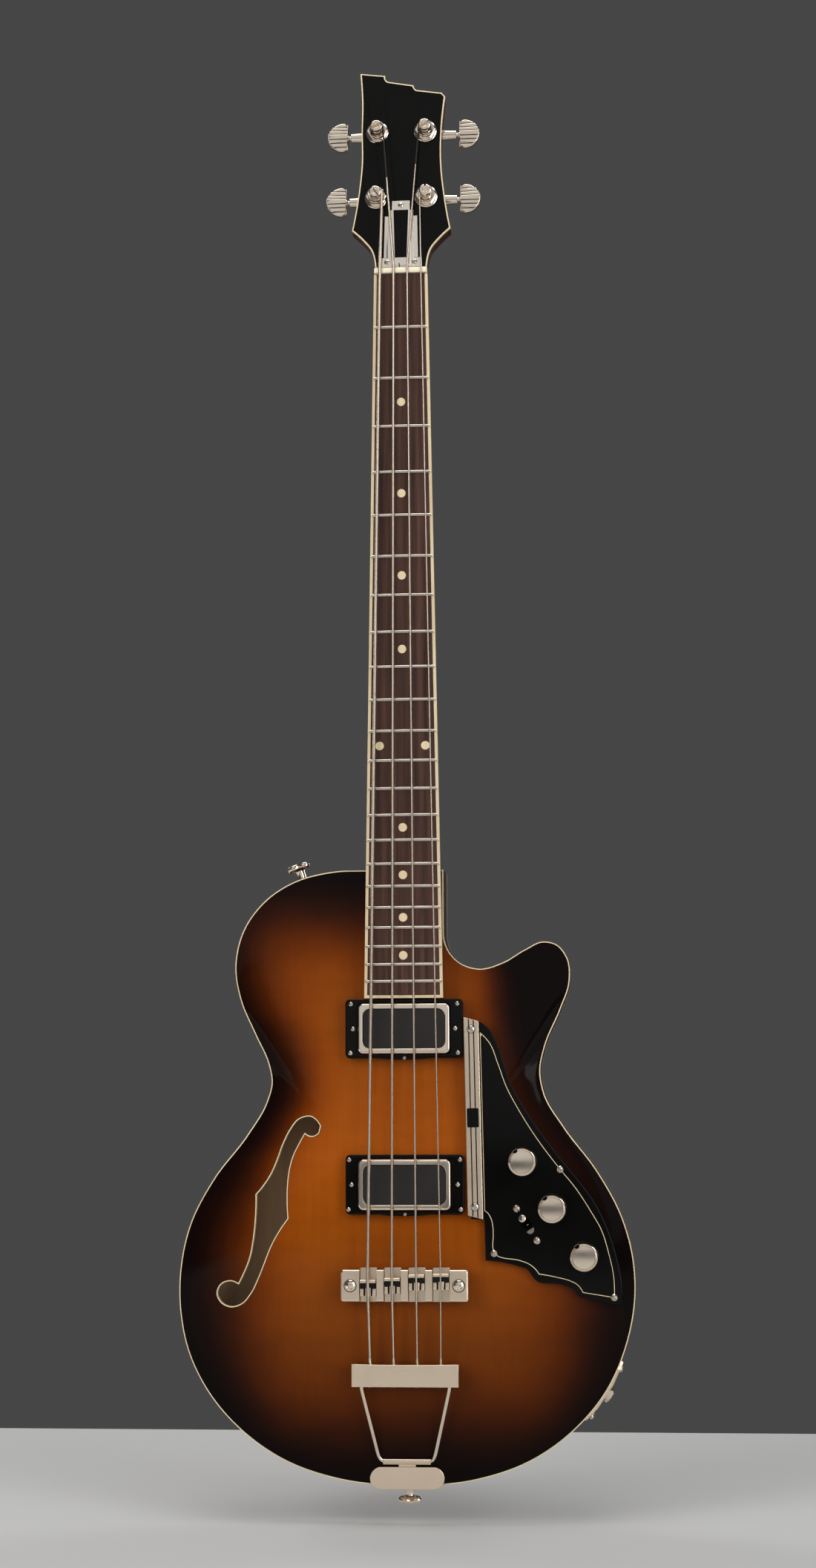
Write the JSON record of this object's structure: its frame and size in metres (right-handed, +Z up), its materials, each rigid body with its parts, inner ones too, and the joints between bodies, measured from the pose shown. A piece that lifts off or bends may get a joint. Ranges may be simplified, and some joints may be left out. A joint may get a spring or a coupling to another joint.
{
  "type": "semi-hollow bass guitar",
  "caption": "Single-cutaway semi-hollow bass guitar with arched sunburst top, one sound hole, trapeze tailpiece and a slim bound neck, shown hanging upright.",
  "frame": {"origin": "on the centre line at the nut's front edge, level with the crown of the fingerboard", "axes": "+Z up along the neck towards the headstock, -Y out of the instrument's front, +X towards the treble side with the cutaway"},
  "size_m": [0.3476, 0.0806, 1.1248],
  "materials": {
    "maple": "glossy sunburst lacquer",
    "sunburst_top": "glossy sunburst lacquer",
    "inner_wood": "bare",
    "neck_wood": "glossy dark stain",
    "rosewood": "satin",
    "cream": "aged cream",
    "bone": "satin",
    "black_gloss": "gloss black",
    "black_plastic": "satin black",
    "nickel": "warm aged nickel",
    "steel": "plain steel",
    "wound_steel": "round wound"
  },
  "bodies": {
    "instrument": {"body_top": "sunburst_top", "body_back": "maple", "body_rim": "maple", "top_binding": "cream", "back_binding": "cream", "centre_block": "inner_wood", "f_hole_binding": "cream", "neck": "neck_wood", "fingerboard": "rosewood", "fingerboard_binding": "cream", "nut": "bone", "headstock_veneer": "black_gloss", "headstock_binding": "cream", "truss_rod": "steel", "truss_cover": "nickel", "truss_cover_inlay": "black_gloss", "bridge_base": "nickel", "tailpiece_bar": "nickel", "trapeze": "nickel", "tail_bracket": "nickel", "neck_pickup_surround": "black_plastic", "bridge_pickup_surround": "black_plastic", "pickguard": "black_gloss", "pickguard_strip": "nickel", "switch_body": "black_plastic", "strap_button_lower": "nickel", "strap_button_upper": "nickel", "jack_plate": "nickel", "jack_socket": "nickel", "string_e": "wound_steel", "tuner_housing_e": "nickel", "string_a": "wound_steel", "tuner_housing_a": "nickel", "string_d": "wound_steel", "tuner_housing_d": "nickel", "string_g": "wound_steel", "tuner_housing_g": "nickel", "potentiometer_neck_volume": "steel", "potentiometer_bridge_volume": "steel", "potentiometer_tone": "steel"},
    "button_e": {"tuner_button_e": "nickel"},
    "post_e": {"tuner_post_e": "steel"},
    "button_a": {"tuner_button_a": "nickel"},
    "post_a": {"tuner_post_a": "steel"},
    "button_d": {"tuner_button_d": "nickel"},
    "post_d": {"tuner_post_d": "steel"},
    "button_g": {"tuner_button_g": "nickel"},
    "post_g": {"tuner_post_g": "steel"},
    "knob_neck_volume_body": {"knob_neck_volume": "nickel"},
    "knob_bridge_volume_body": {"knob_bridge_volume": "nickel"},
    "knob_tone_body": {"knob_tone": "nickel"},
    "lever": {"switch_lever": "nickel"},
    "saddle_e_body": {"saddle_e": "nickel"},
    "saddle_a_body": {"saddle_a": "nickel"},
    "saddle_d_body": {"saddle_d": "nickel"},
    "saddle_g_body": {"saddle_g": "nickel"},
    "neck_pickup": {"neck_pickup_cover": "nickel", "neck_pickup_core": "black_plastic"},
    "bridge_pickup": {"bridge_pickup_cover": "nickel", "bridge_pickup_core": "black_plastic"}
  },
  "joints": [
    {"name": "button_e_turn", "type": "hinge", "parent": "instrument", "child": "button_e", "pos_m": [-0.0199, 0.03154, 0.07032], "axis": [-1, 0, 0], "continuous": true},
    {"name": "post_e_turn", "type": "hinge", "parent": "instrument", "child": "post_e", "pos_m": [-0.0199, 0.00923, 0.06545], "axis": [0, -0.9962, 0.0872], "continuous": true},
    {"name": "button_a_turn", "type": "hinge", "parent": "instrument", "child": "button_a", "pos_m": [-0.0192, 0.03642, 0.12611], "axis": [-1, 0, 0], "continuous": true},
    {"name": "post_a_turn", "type": "hinge", "parent": "instrument", "child": "post_a", "pos_m": [-0.0192, 0.01411, 0.12124], "axis": [0, -0.9962, 0.0872], "continuous": true},
    {"name": "button_d_turn", "type": "hinge", "parent": "instrument", "child": "button_d", "pos_m": [0.0192, 0.03642, 0.12611], "axis": [1, 0, 0], "continuous": true},
    {"name": "post_d_turn", "type": "hinge", "parent": "instrument", "child": "post_d", "pos_m": [0.0192, 0.01411, 0.12124], "axis": [0, -0.9962, 0.0872], "continuous": true},
    {"name": "button_g_turn", "type": "hinge", "parent": "instrument", "child": "button_g", "pos_m": [0.0199, 0.03154, 0.07032], "axis": [1, 0, 0], "continuous": true},
    {"name": "post_g_turn", "type": "hinge", "parent": "instrument", "child": "post_g", "pos_m": [0.0199, 0.00923, 0.06545], "axis": [0, -0.9962, 0.0872], "continuous": true},
    {"name": "knob_neck_volume_turn", "type": "hinge", "parent": "instrument", "child": "knob_neck_volume_body", "pos_m": [0.0894, 0.00588, -0.6938], "axis": [0, -1, 0], "range_deg": [-150, 150]},
    {"name": "knob_bridge_volume_turn", "type": "hinge", "parent": "instrument", "child": "knob_bridge_volume_body", "pos_m": [0.1114, 0.00704, -0.7288], "axis": [0, -1, 0], "range_deg": [-150, 150]},
    {"name": "knob_tone_turn", "type": "hinge", "parent": "instrument", "child": "knob_tone_body", "pos_m": [0.135, 0.00827, -0.7646], "axis": [0, -1, 0], "range_deg": [-150, 150]},
    {"name": "switch_swing", "type": "hinge", "parent": "instrument", "child": "lever", "pos_m": [0.09205, 0.0187, -0.74105], "axis": [-0.8454, 0, -0.5341], "range_deg": [-36, 0]},
    {"name": "saddle_e_slide", "type": "slide", "parent": "instrument", "child": "saddle_e_body", "axis": [0, 0, 1], "range_m": [-0.0015, 0.005]},
    {"name": "saddle_a_slide", "type": "slide", "parent": "instrument", "child": "saddle_a_body", "axis": [0, 0, 1], "range_m": [-0.0015, 0.0035]},
    {"name": "saddle_d_slide", "type": "slide", "parent": "instrument", "child": "saddle_d_body", "axis": [0, 0, 1], "range_m": [-0.0015, 0.0012]},
    {"name": "saddle_g_slide", "type": "slide", "parent": "instrument", "child": "saddle_g_body", "axis": [0, 0, 1], "range_m": [-0.0015, 0.0006]},
    {"name": "neck_pickup_height", "type": "slide", "parent": "instrument", "child": "neck_pickup", "axis": [0, -1, 0], "range_m": [-0.003, 0.002]},
    {"name": "bridge_pickup_height", "type": "slide", "parent": "instrument", "child": "bridge_pickup", "axis": [0, -1, 0], "range_m": [-0.003, 0.002]}
  ],
  "couplings": [
    {"joint": "post_e_turn", "follows": "button_e_turn", "ratio": -0.0625},
    {"joint": "post_a_turn", "follows": "button_a_turn", "ratio": -0.0625},
    {"joint": "post_d_turn", "follows": "button_d_turn", "ratio": 0.0625},
    {"joint": "post_g_turn", "follows": "button_g_turn", "ratio": 0.0625}
  ]
}
